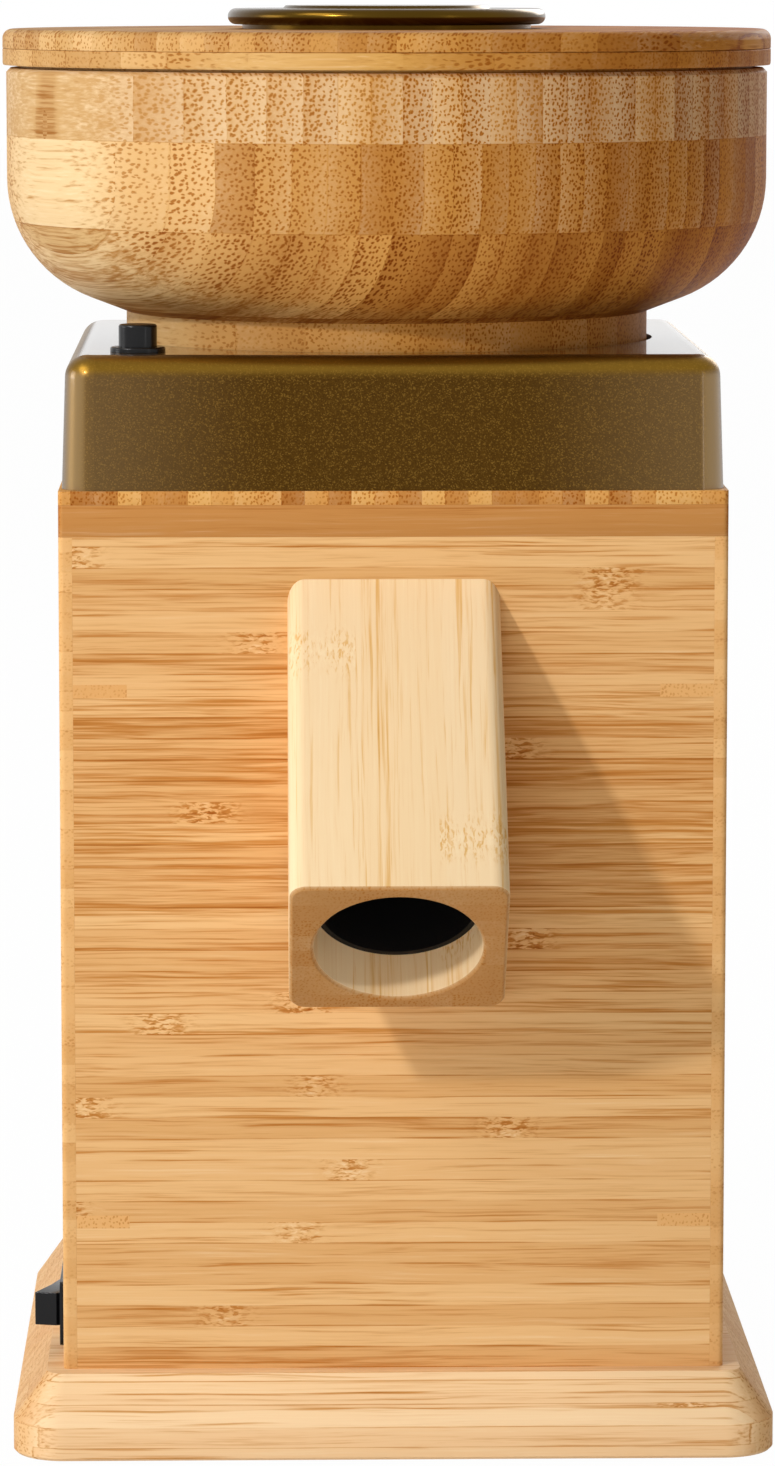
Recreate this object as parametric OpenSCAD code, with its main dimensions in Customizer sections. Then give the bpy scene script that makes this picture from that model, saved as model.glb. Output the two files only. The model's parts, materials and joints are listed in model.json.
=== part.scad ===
// Electric stone grain mill in a bamboo housing. Millimetres, +Z up, the front faces -Y.
// The origin is the middle of the whole mill's footprint box, on the table.
// Every piece is drawn about the milling axis, which stands mill_y behind the origin.

/* [Housing] */
// Width of the bamboo housing
body_w = 178; // [168:1:200]
// Depth of the bamboo housing
body_d = 178; // [168:1:200]
// Height of the four wall panels
body_h = 225; // [205:0.5:250]
// Thickness of the side panels
side_t = 18; // [16:0.5:20]
// Thickness of the front and back panels
front_t = 12; // [10:0.5:13]
// Edge of a side panel that shows beside the front panel
lip_t = 3.7; // [2.5:0.1:6]
// Round on the housing's upright edges
body_edge_r = 1.5; // [0.5:0.1:3]
// Height of the end-grain keys in the front and back panels
key_h = 3.5; // [2:0.1:5]
// Depth of a key behind the panel it passes through
key_depth = 12; // [6:1:20]
// Height of the lower keys above the base
key_low = 40.3; // [20:0.1:60]
// Drop of the upper keys below the top of the panels
key_high = 41.1; // [20:0.1:60]

/* [Base and feet] */
// Thickness of the base board
base_t = 22; // [18:0.5:28]
// How far the base stands out beside the housing
base_out_side = 13.5; // [8:0.5:20]
// How far the base stands out in front of the housing and behind it
base_out_front = 14.5; // [8:0.5:20]
// Height of the base board's upright edge, under the slope
base_edge_h = 9.5; // [5:0.5:14]
// Width of the slope round the base board's top, seen from above
base_slope_w = 9; // [4:0.5:12]
// Radius of the base board's corners
base_corner_r = 14; // [13:0.5:20]
// Height of the rubber feet under the base board
foot_h = 2; // [1:0.1:4]
// Radius of a rubber foot
foot_r = 9; // [6:0.5:12]
// Distance from the base board's edge to a foot's middle
foot_inset = 22; // [16:0.5:30]
// Width of a cooling slot in the base board
vent_w = 4; // [3:0.5:6]
// Length of a cooling slot
vent_l = 34; // [20:1:40]
// Number of cooling slots
vent_count = 7; // [3:1:8]

/* [Top board and cover] */
// Thickness of the top board's long-grain layer
board_t = 8.5; // [7:0.5:12]
// Thickness of the top board's cross-grain layer
veneer_t = 3.7; // [3:0.1:6]
// Height of the painted cover
cover_h = 35.7; // [34:0.1:44]
// How far the cover stands back from the housing's faces
cover_inset = 0.8; // [0:0.1:3]
// Draft of the cover's sides
cover_draft = 1; // [0:0.1:2]
// Round on the cover's top edge
cover_edge_r = 6; // [3:0.5:9]
// Round on the cover's upright edges
cover_corner_r = 9; // [8:0.5:14]
// Wall of the cover
cover_wall = 3.2; // [2:0.1:4]

/* [Hopper] */
// Outer radius of the bowl
bowl_r = 105.3; // [98:0.1:116]
// Height of the bowl from its neck to its rim
bowl_h = 67; // [60:0.5:84]
// Wall of the bowl
bowl_wall = 10; // [7:0.5:12]
// Radius of the bowl's rounded shoulder
bowl_curve_r = 35; // [28:1:40]
// Slope of the bowl's underside
bowl_slope = 21; // [15:0.5:27]
// Distance from the housing's faces in to the wooden neck
neck_margin = 16.6; // [16:0.1:18]
// Height of neck that shows between the cover and the bowl
neck_show = 7.6; // [3:0.1:14]
// Depth of neck inside the cover
neck_sunk = 4.2; // [3:0.1:7]
// Gap round the neck in the cover's hole
neck_gap = 1.5; // [1:0.1:3]
// Radius of the grain throat
throat_r = 26; // [20:0.5:30]

/* [Lid] */
// How far the lid stands out beyond the bowl
lid_over = 1; // [0:0.1:3]
// Thickness of each of the lid's two layers
lid_ply_t = 5.3; // [4:0.1:8]
// Height of the shadow gap under the lid's edge
lid_relief = 0.8; // [0.4:0.1:1.5]
// Clearance between the locating ring and the bowl's mouth
lid_clear = 0.8; // [0.4:0.1:2]
// Radius of the metal disc on the lid
disc_r = 44; // [34:0.5:50]
// Height of the metal disc's rim
disc_h = 5.6; // [4:0.1:8]
// Radius of the disc's raised middle
disc_face_r = 28; // [15:0.5:30]
// Rise of the disc's middle above its rim
disc_rise = 0.8; // [0.3:0.1:1.5]

/* [Spout] */
// Width of the spout block
spout_w = 56.5; // [54:0.5:64]
// Thickness of the spout block, square to its slope
spout_h = 53; // [50:0.5:56]
// Length of the spout along its axis, from the front panel
spout_len = 75.5; // [62:0.5:90]
// Slope of the spout below the horizontal
spout_angle = 45; // [42:1:47]
// Drop of the spout's axis below the top of the front panel
spout_drop = 48.7; // [46:0.1:54]
// Radius of the flour bore
bore_r = 22; // [19:0.5:23]
// Round on the spout's long edges
spout_edge_r = 4.5; // [2:0.5:6]
// Bevel round the spout's end face
spout_bevel = 0.8; // [0.4:0.1:1.5]
// Wall of the black sleeve in the bore
sleeve_wall = 1.5; // [1:0.1:2.5]
// Distance from the mouth to the sleeve
sleeve_recess = 14; // [6:0.5:24]

/* [Milling chamber] */
// Gap between the chamber and the side panels
chamber_gap = 4; // [3:0.5:6]
// Wall of the chamber
chamber_wall = 4; // [3:0.5:5]
// Gap between the stones' rims and the chamber wall
flour_gap = 12; // [11:0.5:13]
// Thickness of a millstone
stone_t = 22; // [20:0.5:24]
// Radius of the upper millstone's eye
eye_r = 17; // [14:0.5:20]
// Gap between the stones at rest
stone_gap = 0.8; // [0.6:0.1:1.2]
// Number of furrows on a millstone
furrow_count = 12; // [6:1:16]
// Depth of a furrow at the eye
furrow_deep = 3; // [1:0.5:4]
// Thickness of the drive disc under the lower stone
drive_disc_t = 6; // [5:0.5:7]
// Gap under the drive disc
sweep_gap = 2; // [1:0.5:3]
// Thickness of the upper stone's carrier
carrier_t = 6; // [5:0.5:7]
// Radius of the wire of the lifting springs
lift_wire_r = 0.45; // [0.3:0.05:0.6]
// Turns of a lifting spring
lift_turns = 4; // [3:1:5]
// Rise of the hopper and the upper stone for one turn of the hopper
thread_pitch = 3; // [2:0.5:4]
// Radial clearance of a running fit
run_fit = 0.06; // [0.03:0.01:0.09]

/* [Motor] */
// Gap between the motor and the side panels
motor_gap = 14; // [12:0.5:20]
// Height of the stator stack
stator_h = 50; // [40:1:56]
// Height of a motor bell
bell_h = 24; // [22:0.5:26]
// Gap between the motor and the chamber
motor_drop = 14; // [10:0.5:18]
// Radius of the shaft
shaft_r = 7; // [6:0.5:8]
// Outer radius of a bearing
bearing_r = 16; // [15:0.5:18]
// Width of a bearing
bearing_w = 11; // [9:0.5:12]
// Gap between rotor and stator
air_gap = 0.6; // [0.4:0.1:1]
// Height of the fan
fan_h = 11; // [8:0.5:14]
// Number of fan blades
fan_blades = 9; // [5:1:11]

/* [Power switch] */
// Distance from the housing's front to the middle of the switch
switch_back = 26; // [25.5:0.5:34]
// Height of the switch's middle above the base
switch_up = 12.5; // [10:0.5:20]
// Length of the switch's flange
switch_l = 30; // [28:0.5:34]
// Height of the switch's flange
switch_h = 17.5; // [16:0.5:22]
// Thickness of the switch's flange
switch_flange_t = 1.3; // [0.8:0.1:2]
// Tilt of the rocker to each side
rocker_tilt = 20; // [15:1:22]
// Height of the rocker
rocker_h = 9; // [7:0.5:10]

/* [Release button] */
// Distance from the housing's left face, and from its front, in to the button's middle
button_inset = 21; // [18:0.5:22]
// Radius of the button
button_r = 5.15; // [4:0.05:6]
// How far the button stands above its collar
button_show = 6; // [4:0.5:8]
// Travel of the button
button_travel = 3; // [2:0.5:3.5]
// Radius of the button's collar
collar_r = 7.4; // [7:0.1:8.5]

/* [Hidden] */
$fn = 96;
eps = 0.01;
reach = 400;            // longer than the mill, for cutting tools

// Heights, from the table up
base_top = foot_h + base_t;
panel_top = base_top + body_h;
board_top = panel_top + board_t;
veneer_top = board_top + veneer_t;
cover_top = veneer_top + cover_h;
bowl_base = cover_top + neck_show;
rim_z = bowl_base + bowl_h;
lid_top = rim_z + 2 * lid_ply_t;
mill_top = lid_top + disc_h + disc_rise;

// Plan sizes of the housing, the neck and the lid. The round pieces keep to the housing's smaller width.
core_half = min(body_w, body_d) / 2;
neck_r = core_half - neck_margin;
lid_r = bowl_r + lid_over;
side_in = body_w / 2 - side_t;
front_in = body_d / 2 - front_t;
panel_half = body_w / 2 - lip_t;
base_w = body_w + 2 * base_out_side;
base_d = body_d + 2 * base_out_front;
cover_w = body_w - 2 * cover_inset;
cover_d = body_d - 2 * cover_inset;

// The spout's axis, and the place of the milling axis that centres the footprint box
axis_z = panel_top - spout_drop;
spout_tip = (spout_h / 2 - spout_bevel) * sin(spout_angle) + spout_len * cos(spout_angle);
front_reach = body_d / 2 + spout_tip;
back_reach = max(lid_r, bowl_r, base_d / 2);
mill_y = (front_reach - back_reach) / 2;
sleeve_in = bore_r - sleeve_wall;
sleeve_back = (body_d / 2) / cos(spout_angle);

// Milling chamber and stones
chamber_r = core_half - side_t - chamber_gap;
chamber_in = chamber_r - chamber_wall;
chamber_floor = axis_z + (body_d / 2 - chamber_in) * tan(spout_angle) - sleeve_in / cos(spout_angle);
chamber_base = chamber_floor - chamber_wall;
chamber_top = veneer_top + chamber_wall;
stone_r = chamber_in - flour_gap;
drive_z = chamber_floor + sweep_gap;
lower_z = drive_z + drive_disc_t;
upper_z = lower_z + stone_t + stone_gap;
carrier_z = upper_z + stone_t;
carrier_top = carrier_z + carrier_t;
closing_turn = 1 / 6;      // how far the hopper turns down from rest, until the stones nearly meet
guide_r = stone_r + 7.5;
guide_angles = [90, 210, 330];
pin_r = 1.5;
ledge_z = carrier_z - 14.6;
ledge_t = 5;
ledge_top = ledge_z + ledge_t;
lift_spring_r = 3;
spring_seat_gap = 0.1;

// Threaded rings between the cover and the chamber
drum_r = neck_r - 6;
drum_wall = 4;
flange_t = 4;
ring_flange_r = drum_r + 15;
ring_bolt_r = drum_r + 11;
drum_z = chamber_top + flange_t + thread_pitch * closing_turn + 0.3;
hopper_flange_z = cover_top - neck_sunk - flange_t;
skirt_r = guide_r - 0.5;

// Motor
motor_r = core_half - side_t - motor_gap;
motor_top = chamber_base - motor_drop;
stator_z = motor_top - bell_h - stator_h;
motor_base = stator_z - bell_h;
rotor_r = motor_r * 0.62;
fan_z = motor_base - fan_h - 3;
shaft_base = fan_z - 2;
bolt_ring_r = motor_r + 4;

// Switch: its own axes have x out of the wall, y to the back and z up
switch_y = -body_d / 2 + switch_back;
switch_z = base_top + switch_up;
rocker_half = 10.5;
rocker_face = 5.2;
rocker_pivot = 3;
switch_pocket = 2 * rocker_half + 5;

// Fasteners
screw_r = 2;
small_screw_r = 1.5;
screw_head_r = 3.4;
screw_head_t = 2.4;
small_screw_head_r = 2.6;
small_screw_head_t = 1.6;
screw_gap = 0.05;
foot_screw_l = 12;
base_screw_l = 30;
board_screw_l = 24;
cover_screw_l = 24;
ring_screw_l = 16;
spout_screw_l = front_t + 10;
stone_screw_l = 12;
carrier_screw_l = 14;
neck_screw_l = 12;
lid_screw_l = 12;
motor_bolt_l = motor_top - motor_base + 9;

// Base and feet
base_edge_round = 0.8;
base_screw_sink = 6;
panel_screw_inset = 52;   // clear of the switch beside the front corner
foot_pocket = 3;
foot_seat = foot_h + 1.4;
vent_pitch = 11;

// Shaft, hub and nut
hub_r = 10;
stud_r = 4;
spigot_top = lower_z + stone_t - 9;
seal_t = 5;
coil_h = 10;

// Hopper
spigot_r = neck_r - 18.4;
neck_base = hopper_flange_z + flange_t;
flange_in = skirt_r - 2;
neck_screw_place = (flange_in + drum_r - drum_wall) / 2;   // midway across the flange, inside the drum
shoulder_z = bowl_base + (bowl_curve_r + sin(bowl_slope) * (bowl_r - bowl_curve_r - neck_r)) / cos(bowl_slope);
floor_slope = 15;
floor_edge = [bowl_r - bowl_curve_r, shoulder_z]
    + (bowl_curve_r - bowl_wall) * [sin(floor_slope), -cos(floor_slope)];
floor_z = floor_edge.y - (floor_edge.x - throat_r) * tan(floor_slope);
funnel_lip = 4;
lip_h = 3;
guard_z = floor_z - 9;
funnel_bend_z = floor_z - 20;

// Lid
lid_low_round = 1.6;
lid_top_round = 2.6;
lid_ring_w = 8;
lid_ring_h = 6.5;

// Electrical parts
capacitor_r = 12;
capacitor_l = 52;
capacitor_place = [-32, 14];    // its left end, and how far its middle stands before the back panel
clamp_w = 5;
clamp_places = [8, 40];
terminal_place = [32, 24];
terminal_size = [30, 12, 12];
gland_place = [45, 26];         // beside the middle, and above the base
gland_r = 6;
cord_hole_r = 3.6;
switch_deep = 22;
switch_body_h = switch_h - 4.5;
switch_body_l = switch_pocket + 0.8;
rocker_top = rocker_face + rocker_pivot;
rocker_pin_r = 1;
pin_span = rocker_h + 3;

// Release button
collar_t = 1.4;
collar_sleeve_r = button_r + run_fit + 1;
button_foot_z = cover_top - 16;
button_spring_r = 3.8;
button_wire_r = 0.45;
button_turns = 6;
coil_steps = 16;

module place() translate([0, mill_y, 0]) children();

module rod(r, z0, z1) translate([0, 0, z0]) cylinder(r = r, h = z1 - z0);

module tube(r_out, r_in, z0, z1) difference() {
    rod(r_out, z0, z1);
    rod(r_in, z0 - 1, z1 + 1);
}

module block(x0, x1, y0, y1, z0, z1) translate([x0, y0, z0]) cube([x1 - x0, y1 - y0, z1 - z0]);

module at_corners(x, y) for (sx = [-1, 1], sy = [-1, 1]) translate([sx * x, sy * y, 0]) children();

module around(count, r, start = 0)
    for (i = [0 : count - 1]) rotate([0, 0, start + i * 360 / count]) translate([r, 0, 0]) children();

// A rectangle with round corners, of squares and circles only
module round_rect(w, d, r) {
    square([w - 2 * r, d], center = true);
    square([w, d - 2 * r], center = true);
    for (sx = [-1, 1], sy = [-1, 1]) translate([sx * (w / 2 - r), sy * (d / 2 - r)]) circle(r = r);
}

// Sweeps an edge profile round a rectangle with corners of radius r. The profile starts at x = 0,
// the corner's centre, between the heights z0 and z1.
module rimmed_block(w, d, r, z0, z1) {
    at_corners(w / 2 - r, d / 2 - r) rotate_extrude() children();
    rotate([90, 0, 90]) linear_extrude(w - 2 * r, center = true) rimmed_section(d / 2 - r, z0, z1) children();
    rotate([90, 0, 0]) linear_extrude(d - 2 * r, center = true) rimmed_section(w / 2 - r, z0, z1) children();
}
module rimmed_section(half, z0, z1) {
    translate([-half, z0]) square([2 * half, z1 - z0]);
    for (side = [0, 1]) mirror([side, 0]) translate([half, 0]) children();
}

// A disc or ring with round edges, of squares and circles only
module soft_ring(r_out, r_in, z0, z1, low_round, top_round) rotate_extrude() {
    translate([r_in, z0 + low_round]) square([r_out - r_in, z1 - z0 - low_round - top_round]);
    translate([r_in, z0]) square([r_out - low_round - r_in, low_round + eps]);
    translate([r_in, z1 - top_round - eps]) square([r_out - top_round - r_in, top_round + eps]);
    translate([r_out - low_round, z0 + low_round]) circle(r = low_round);
    translate([r_out - top_round, z1 - top_round]) circle(r = top_round);
}

// A pan-head screw pointing up, with the head's seat at z = 0
module screw(shank_r, shank_l, head_r, head_t) difference() {
    union() {
        cylinder(r = shank_r, h = shank_l);
        translate([0, 0, -head_t]) cylinder(r = head_r, h = head_t);
    }
    translate([0, 0, -head_t - 1]) cylinder(r = shank_r * 0.8, h = 1 + head_t * 0.6, $fn = 6);
}
module screw_hole(shank_r, shank_l) translate([0, 0, -eps])
    cylinder(r = shank_r + screw_gap, h = shank_l + 0.5);
module head_hole(head_r, depth) translate([0, 0, -reach]) cylinder(r = head_r + 0.4, h = reach + depth);

// Points of a coil round the z axis, whose turns lie closer at its ends
function coil_points(r, z0, z1, turns, per_turn) =
    let (n = turns * per_turn)
    [for (i = [0 : n]) let (t = i / n, a = 360 * turns * t)
        [r * cos(a), r * sin(a), z0 + (z1 - z0) * (t - sin(360 * t) / (2 * PI) * 0.3)]];

// Least distance between parts of a coil half a turn or more apart, less the wire
function coil_gap(points, wire_r, per_turn) =
    min([for (i = [0 : len(points) - 1], j = [i + per_turn / 2 : len(points) - 1])
        norm(points[i] - points[j])]) - 2 * wire_r;

// One unbroken wire through the points of a coil
module coil_wire(points, wire_r, sides = 6) {
    n = len(points);
    rings = [for (i = [0 : n - 1])
        let (along = points[min(i + 1, n - 1)] - points[max(i - 1, 0)],
             out = [points[i].x, points[i].y, 0] / norm([points[i].x, points[i].y]),
             up = cross(along / norm(along), out))
        for (k = [0 : sides - 1])
            points[i] + wire_r * (out * cos(k * 360 / sides) + up * sin(k * 360 / sides))];
    walls = [for (i = [0 : n - 2], k = [0 : sides - 1])
        let (a = i * sides + k, b = i * sides + (k + 1) % sides)
        each [[a, b, b + sides], [a, b + sides, a + sides]]];
    start = [for (k = [1 : sides - 2]) [0, k + 1, k]];
    finish = [for (k = [1 : sides - 2]) let (a = (n - 1) * sides) [a, a + k, a + k + 1]];
    polyhedron(rings, concat(walls, start, finish));
}

// ---- Base and feet ----

module base_screw_spots() at_corners(body_w / 2 - side_t / 2, body_d / 2 - panel_screw_inset)
    translate([0, 0, foot_h + base_screw_sink]) children();
module foot_spots() at_corners(base_w / 2 - foot_inset, base_d / 2 - foot_inset) children();
module foot_screw_spots() foot_spots() translate([0, 0, foot_seat]) children();

module base_board() color("burlywood") difference() {
    rimmed_block(base_w, base_d, base_corner_r, foot_h, base_top) polygon([
        [0, foot_h], [base_corner_r - base_edge_round, foot_h], [base_corner_r, foot_h + base_edge_round],
        [base_corner_r, foot_h + base_edge_h],
        [base_corner_r - base_slope_w, base_top], [0, base_top]]);
    for (i = [0 : vent_count - 1]) translate([(i - (vent_count - 1) / 2) * vent_pitch, 0, foot_h - 1])
        linear_extrude(base_t + 2) round_rect(vent_w, vent_l, vent_w / 2 - eps);
    foot_spots() rod(foot_r + 0.2, 0, foot_h + foot_pocket);
    foot_screw_spots() screw_hole(small_screw_r, foot_screw_l);
    base_screw_spots() {
        screw_hole(screw_r, base_screw_l);
        head_hole(screw_head_r, 0);
    }
}

module rubber_feet() color("dimgray") foot_spots() difference() {
    soft_ring(foot_r, 0, 0, foot_h + foot_pocket, foot_h / 2, 0.2);
    rod(screw_head_r, -1, foot_seat);
    rod(small_screw_r + 0.2, -1, reach);
}

module foot_screws() color("silver") foot_screw_spots() screw(small_screw_r, foot_screw_l, 3, 1.6);

module base_screws() color("silver") base_screw_spots()
    screw(screw_r, base_screw_l, screw_head_r, screw_head_t);

// ---- Housing ----

module board_screw_spots() at_corners(body_w / 2 - side_t / 2, body_d / 2 - panel_screw_inset)
    translate([0, 0, board_top - screw_head_t]) mirror([0, 0, 1]) children();

module side_outline() difference() {
    union() {
        translate([side_in, -body_d / 2]) square([side_t - body_edge_r, body_d]);
        translate([side_in, -body_d / 2 + body_edge_r]) square([side_t, body_d - 2 * body_edge_r]);
        for (s = [-1, 1]) translate([body_w / 2 - body_edge_r, s * (body_d / 2 - body_edge_r)])
            circle(r = body_edge_r);
    }
    for (s = [0, 1]) mirror([0, s]) translate([side_in - 1, front_in])
        square([panel_half - side_in + 1, front_t + 1]);
}

// The four keys of one panel, and the slots they lie in
module keys() for (z = [base_top + key_low, panel_top - key_high], s = [0, 1]) mirror([s, 0, 0])
    block(side_in, panel_half, -body_d / 2, -front_in + key_depth, z - key_h / 2, z + key_h / 2);

module side_panel() difference() {
    translate([0, 0, base_top]) linear_extrude(body_h) side_outline();
    for (s = [0, 1]) mirror([0, s, 0]) keys();
    base_screw_spots() screw_hole(screw_r, base_screw_l);
    board_screw_spots() screw_hole(screw_r, board_screw_l);
}

module left_panel() color("tan") difference() {
    mirror([1, 0, 0]) side_panel();
    switch_frame() translate([0, 0, -2 * side_t]) linear_extrude(4 * side_t)
        square([switch_body_h + 0.4, switch_body_l + 0.4], center = true);
}

module right_panel() color("tan") side_panel();

module front_panel() color("wheat") difference() {
    block(-panel_half, panel_half, -body_d / 2, -front_in, base_top, panel_top);
    keys();
    spout_frame() rod(bore_r, -reach / 2, reach / 2);
    spout_screw_spots() screw_hole(small_screw_r, spout_screw_l);
}

module back_panel() color("wheat") difference() {
    block(-panel_half, panel_half, front_in, body_d / 2, base_top, panel_top);
    mirror([0, 1, 0]) keys();
    gland_frame() rod(gland_r + 0.1, -reach, reach);
}

module front_keys() color("peru") keys();

module back_keys() color("peru") mirror([0, 1, 0]) keys();

module cover_screw_spots() at_corners(side_in - 15, front_in - 4.5)
    translate([0, 0, panel_top]) children();
module ring_screw_spots() around(6, ring_bolt_r, 30)
    translate([0, 0, chamber_top + flange_t]) mirror([0, 0, 1]) children();

module top_layer(z0, z1) difference() {
    translate([0, 0, z0]) linear_extrude(z1 - z0) round_rect(body_w, body_d, body_edge_r);
    rod(chamber_r + 0.3, z0 - 1, z1 + 1);
    cover_screw_spots() screw_hole(screw_r, reach);
    ring_screw_spots() screw_hole(screw_r, ring_screw_l);
}

module top_board() color("sienna") difference() {
    top_layer(panel_top, board_top);
    board_screw_spots() {
        screw_hole(screw_r, board_screw_l);
        head_hole(screw_head_r, 0);
    }
}

module top_veneer() color("burlywood") top_layer(board_top, veneer_top);

module board_screws() color("silver") board_screw_spots()
    screw(screw_r, board_screw_l, screw_head_r, screw_head_t);

module cover_profile(r, edge_r, top) {
    polygon([[0, veneer_top], [r, veneer_top], [r - cover_draft, top - edge_r],
        [r - cover_draft - edge_r, top], [0, top]]);
    intersection() {
        translate([r - cover_draft - edge_r, top - edge_r]) circle(r = edge_r);
        translate([0, veneer_top]) square([r, cover_h]);
    }
}

module cover() color("darkgoldenrod") difference() {
    union() {
        difference() {
            rimmed_block(cover_w, cover_d, cover_corner_r, veneer_top, cover_top)
                cover_profile(cover_corner_r, cover_edge_r, cover_top);
            translate([0, 0, -eps]) rimmed_block(cover_w - 2 * cover_wall, cover_d - 2 * cover_wall,
                cover_corner_r - cover_wall, veneer_top, cover_top - cover_wall)
                cover_profile(cover_corner_r - cover_wall, cover_edge_r - cover_wall, cover_top - cover_wall);
        }
        cover_screw_spots() rod(screw_r + 2.6, veneer_top - panel_top, cover_top - panel_top - 1);
    }
    cover_screw_spots() screw_hole(screw_r, cover_screw_l);
    rod(neck_r + neck_gap, panel_top, reach * 2);
    button_spot() rod(collar_sleeve_r + 0.1, panel_top, reach * 2);
}

module cover_screws() color("silver") cover_screw_spots()
    screw(screw_r, cover_screw_l, screw_head_r, screw_head_t);

// ---- Spout ----

// The spout's own axes: z along its slope out of the front panel, y square to it, up and forwards
module spout_frame() translate([0, -body_d / 2, axis_z]) rotate([90 + spout_angle, 0, 0]) children();

module spout_screw_spots() for (sx = [-1, 1], sz = [-1, 1])
    translate([sx * (spout_w + 2 * bore_r) / 4, -front_in, axis_z + sz * 24])
        rotate([90, 0, 0]) children();

module spout_block() color("moccasin") difference() {
    intersection() {
        spout_frame() rimmed_block(spout_w, spout_h, spout_edge_r, -reach / 2, spout_len) polygon([
            [0, -reach / 2], [spout_edge_r, -reach / 2], [spout_edge_r, spout_len - spout_bevel],
            [spout_edge_r - spout_bevel, spout_len], [0, spout_len]]);
        block(-reach, reach, -reach, -body_d / 2, 0, reach);
    }
    spout_frame() rod(bore_r, -reach / 2, reach);
    spout_frame() translate([0, 0, spout_len - spout_bevel])
        cylinder(r1 = bore_r, r2 = bore_r + 2 * spout_bevel, h = 2 * spout_bevel);
    spout_screw_spots() screw_hole(small_screw_r, spout_screw_l);
}

module spout_sleeve() color("black") difference() {
    spout_frame() tube(bore_r - 0.05, sleeve_in, -sleeve_back, spout_len - sleeve_recess);
    rod(chamber_r + 0.2, 0, reach * 2);
    block(-reach, reach, -reach, reach, panel_top - 0.1, reach * 2);
}

module spout_screws() color("silver") spout_screw_spots() screw(small_screw_r, spout_screw_l, 2.8, 1.6);

// ---- Milling chamber ----

module guides() for (a = guide_angles) rotate([0, 0, a]) translate([guide_r, 0, 0]) children();
module motor_bolt_spots() around(4, bolt_ring_r, 45) translate([0, 0, motor_base]) children();

module mill_chamber() color("lightsteelblue") difference() {
    union() {
        rod(chamber_r, chamber_base, veneer_top);
        rod(ring_flange_r, veneer_top, chamber_top);
        motor_bolt_spots() rod(6, motor_top - motor_base, chamber_base - motor_base + eps);
    }
    difference() {
        rod(chamber_in, chamber_floor, reach * 2);
        guides() {
            rod(4.6, ledge_z, ledge_top);
            block(0, flour_gap, -4.6, 4.6, ledge_z, ledge_top);
        }
    }
    rod(shaft_r + seal_t, 0, reach);
    guides() rod(pin_r + 0.02, ledge_z - 1, ledge_top + 1);
    spout_frame() rod(sleeve_in, -sleeve_back, 0);
    ring_screw_spots() screw_hole(screw_r, ring_screw_l);
    motor_bolt_spots() screw_hole(screw_r, motor_bolt_l);
}

module shaft_seal() color("gray") tube(shaft_r + seal_t - 0.02, shaft_r + 0.3, chamber_base, chamber_floor);

module thread_ring() color("darkslategray") difference() {
    union() {
        rod(drum_r + run_fit + drum_wall, chamber_top, hopper_flange_z - 3);
        rod(ring_flange_r, chamber_top, chamber_top + flange_t);
    }
    rod(drum_r + run_fit, 0, reach * 2);
    ring_screw_spots() screw_hole(screw_r, ring_screw_l);
}

module ring_screws() color("silver") ring_screw_spots()
    screw(screw_r, ring_screw_l, screw_head_r, screw_head_t);

module guide_pins() color("silver") guides()
    rod(pin_r, ledge_z, carrier_top - thread_pitch * closing_turn - 0.7);

lift_coil = coil_points(lift_spring_r, ledge_top + lift_wire_r + spring_seat_gap,
    carrier_z - lift_wire_r - spring_seat_gap, lift_turns, coil_steps);
echo(lift_spring_least_gap = coil_gap(lift_coil, lift_wire_r, coil_steps));
module lift_springs() color("silver") guides() coil_wire(lift_coil, lift_wire_r);

// ---- Rotating group ----

module stone_screw_spots() around(3, stone_r * 0.6, 30)
    translate([0, 0, drive_z + screw_head_t]) children();

module drive_disc() color("lightgray") difference() {
    union() {
        rod(stone_r - 1, drive_z, lower_z);
        rod(hub_r, drive_z, spigot_top);
        around(3, 0) block(stone_r - 4, chamber_in - 1.5, -2.5, 2.5, drive_z, lower_z);
    }
    rod(shaft_r, 0, reach);
    stone_screw_spots() {
        screw_hole(screw_r, stone_screw_l);
        head_hole(screw_head_r, 0);
    }
}

// Straight furrows that run from the eye to the rim, off the radius, and get shallower outwards
module furrows(face_z) for (i = [0 : furrow_count - 1]) rotate([0, 0, i * 360 / furrow_count])
    translate([eye_r - 6, eye_r * 0.6, face_z - furrow_deep])
        rotate([0, -asin((furrow_deep - 0.3) / (stone_r - eye_r)), 0]) cube([stone_r, 3.4, furrow_deep + 3]);

module lower_stone() color("gainsboro") difference() {
    tube(stone_r, hub_r + 0.1, lower_z, lower_z + stone_t);
    furrows(lower_z + stone_t);
    stone_screw_spots() screw_hole(screw_r, stone_screw_l);
}

module stone_screws() color("silver") stone_screw_spots()
    screw(screw_r, stone_screw_l, screw_head_r, screw_head_t);

module stone_nut() color("silver") difference() {
    union() {
        translate([0, 0, spigot_top]) cylinder(r = hub_r - 1.5, h = 5, $fn = 6);
        translate([0, 0, spigot_top + 5]) cylinder(r1 = hub_r - 2.6, r2 = stud_r + 0.6, h = 2);
    }
    rod(stud_r, 0, reach);
}

// ---- Upper stone, lifted by the hopper's thread ----

module carrier_screw_spots() around(3, stone_r * 0.66, 0)
    translate([0, 0, carrier_top]) mirror([0, 0, 1]) children();

module stone_carrier() color("slategray") difference() {
    tube(chamber_in - 1.8, eye_r, carrier_z, carrier_top);
    guides() rod(pin_r + run_fit, 0, reach);
    carrier_screw_spots() screw_hole(screw_r, carrier_screw_l);
}

module upper_stone() color("whitesmoke") difference() {
    tube(stone_r, eye_r, upper_z, carrier_z);
    translate([0, 0, upper_z]) mirror([0, 0, 1]) furrows(0);
    carrier_screw_spots() screw_hole(screw_r, carrier_screw_l);
}

module carrier_screws() color("silver") carrier_screw_spots()
    screw(screw_r, carrier_screw_l, screw_head_r, screw_head_t);

// ---- Hopper ----

module neck_screw_spots() around(4, neck_screw_place, 45) translate([0, 0, hopper_flange_z]) children();

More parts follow.
